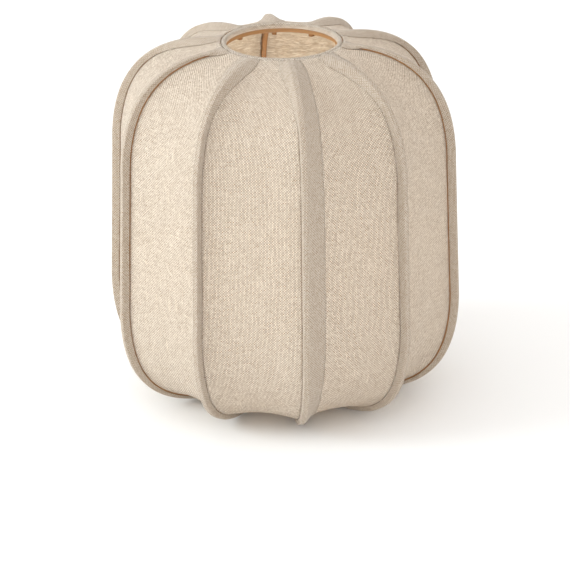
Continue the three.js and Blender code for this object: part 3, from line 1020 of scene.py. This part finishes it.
def joinMeshes(parts):
    points, faces = [], []
    for somePoints, someFaces in parts:
        faces += [tuple(k + len(points) for k in face) for face in someFaces]
        points += list(somePoints)
    return points, faces, emptyUv(faces)


screwPlaces = [(low(f"fitter_screw_{k}")[0] + high(f"fitter_screw_{k}")[0]) / 2 for k in (1, 2)]
armTurns = [k * math.tau / 3 for k in range(3)]
armPattern = addPiece("armPattern", *joinMeshes([rodMesh()[:2], tabMesh()]), paintMaterial)
turnedCopies(armPattern, "fitterArm", "fitter_arm", (1, 2, 3), armTurns, paintMaterial, "fitter_steel")


# Pan head screw along +Y with a cross recess in its domed head
def screwMesh(place):
    head, end = low("fitter_screw_1")[1], high("fitter_screw_1")[1]
    profile = [*screwCut["crown"], *screwCut["rim"], *screwCut["neck"]]
    for thread in range(screwCut["threads"]):
        along = screwCut["threadPitch"] * thread
        profile += [(1.2, 2.7 + along), (0.95, 2.97 + along)]
    sweep = np.arange(screwCut["sides"]) / screwCut["sides"] * math.tau
    loops = []
    for radius, along in profile:
        loop = []
        for a in sweep:
            x, z = radius * mm * math.cos(a), radius * mm * math.sin(a)
            inCross = min(abs(x), abs(z)) < screwCut["recessHalf"] and radius < screwCut["recessRadius"]
            sunk = screwCut["recess"] * (1 - 0.4 * radius / screwCut["recessRadius"]) if inCross else 0.0
            loop.append((place + x, min(head + along * mm + sunk, end), fitterHeight + z))
        loops.append(loop[::-1])
    return loopsMesh(loops)


for j, place in enumerate(screwPlaces):
    pattern = addPiece("screwPattern", *screwMesh(place), zincMaterial)
    numbers = [2 * k + j + 1 for k in range(3)]
    turnedCopies(pattern, "fitterScrew", "fitter_screw", numbers, armTurns, zincMaterial, "screw_steel")
print("fitter made")


cameraPlace = {
    "turn": -7.0,
    "distance": 3.195,
    "aside": 1.2 * mm,
    "height": 1.393,
    "tilt": 21.91,
    "roll": -0.5,
    "lens": 213.3,
}


def setCamera(place):
    data = bpy.data.cameras.new("camera")
    data.lens = place["lens"]
    data.clip_end = 200
    eye = bpy.data.objects.new("camera", data)
    scene.collection.objects.link(eye)
    turn = math.radians(place["turn"])
    eye.location = (
        place["distance"] * math.sin(turn) + place["aside"] * math.cos(turn),
        -place["distance"] * math.cos(turn) + place["aside"] * math.sin(turn),
        place["height"],
    )
    eye.rotation_mode = "XYZ"
    eye.rotation_euler = (math.radians(90 - place["tilt"]), 0, turn)
    eye.rotation_euler.rotate_axis("Z", math.radians(place["roll"]))
    scene.camera = eye


setCamera(cameraPlace)


def softbox(name, turn, rise, distance, size, power, colour):
    data = bpy.data.lights.new(name, "AREA")
    data.shape = "DISK"
    data.size = size
    data.energy = power
    data.color = colour
    lamp = bpy.data.objects.new(name, data)
    scene.collection.objects.link(lamp)
    a, e = math.radians(turn), math.radians(rise)
    place = Vector((math.sin(a) * math.cos(e), -math.cos(a) * math.cos(e), math.sin(e))) * distance
    lamp.location = place + Vector((0, 0, 0.2))
    lamp.rotation_euler = (-place).to_track_quat("-Z", "Y").to_euler()


softbox("keyLight", turn=-86, rise=22, distance=2.6, size=1.3, power=41, colour=(0.86, 0.95, 1.0))
softbox("frontLight", turn=-12, rise=6, distance=3.0, size=1.6, power=12, colour=(0.93, 0.97, 1.0))

# daylight that the thin cloth passes on to the inside of the shade
inside = bpy.data.lights.new("insideLight", "POINT")
inside.energy = 1.35
inside.shadow_soft_size = 0.09
insideLamp = bpy.data.objects.new("insideLight", inside)
insideLamp.location = (0, 0, (footHeight + crestHeight) / 2)
insideLamp.visible_camera = False
scene.collection.objects.link(insideLamp)

world = bpy.data.worlds.new("studio")
world.use_nodes = True
sky = {"Color": (1, 0.99, 0.985, 1), "Strength": 1.15}
feed(world.node_tree, world.node_tree.nodes["Background"].inputs, sky)
scene.world = world
scene.view_settings.view_transform = "Standard"

floorMesh = bpy.data.meshes.new("floor")
floorMesh.from_pydata([(-20, -20, 0), (20, -20, 0), (20, 20, 0), (-20, 20, 0)], [], [(0, 1, 2, 3)])
floorMaterial, floorTree, floorShader, floorSurface = newMaterial("paleFloor")
feed(floorTree, floorShader.inputs, {"Base Color": (0.92, 0.92, 0.91, 1), "Roughness": 0.9})
floorMesh.materials.append(floorMaterial)
floor = bpy.data.objects.new("floor", floorMesh)
scene.collection.objects.link(floor)
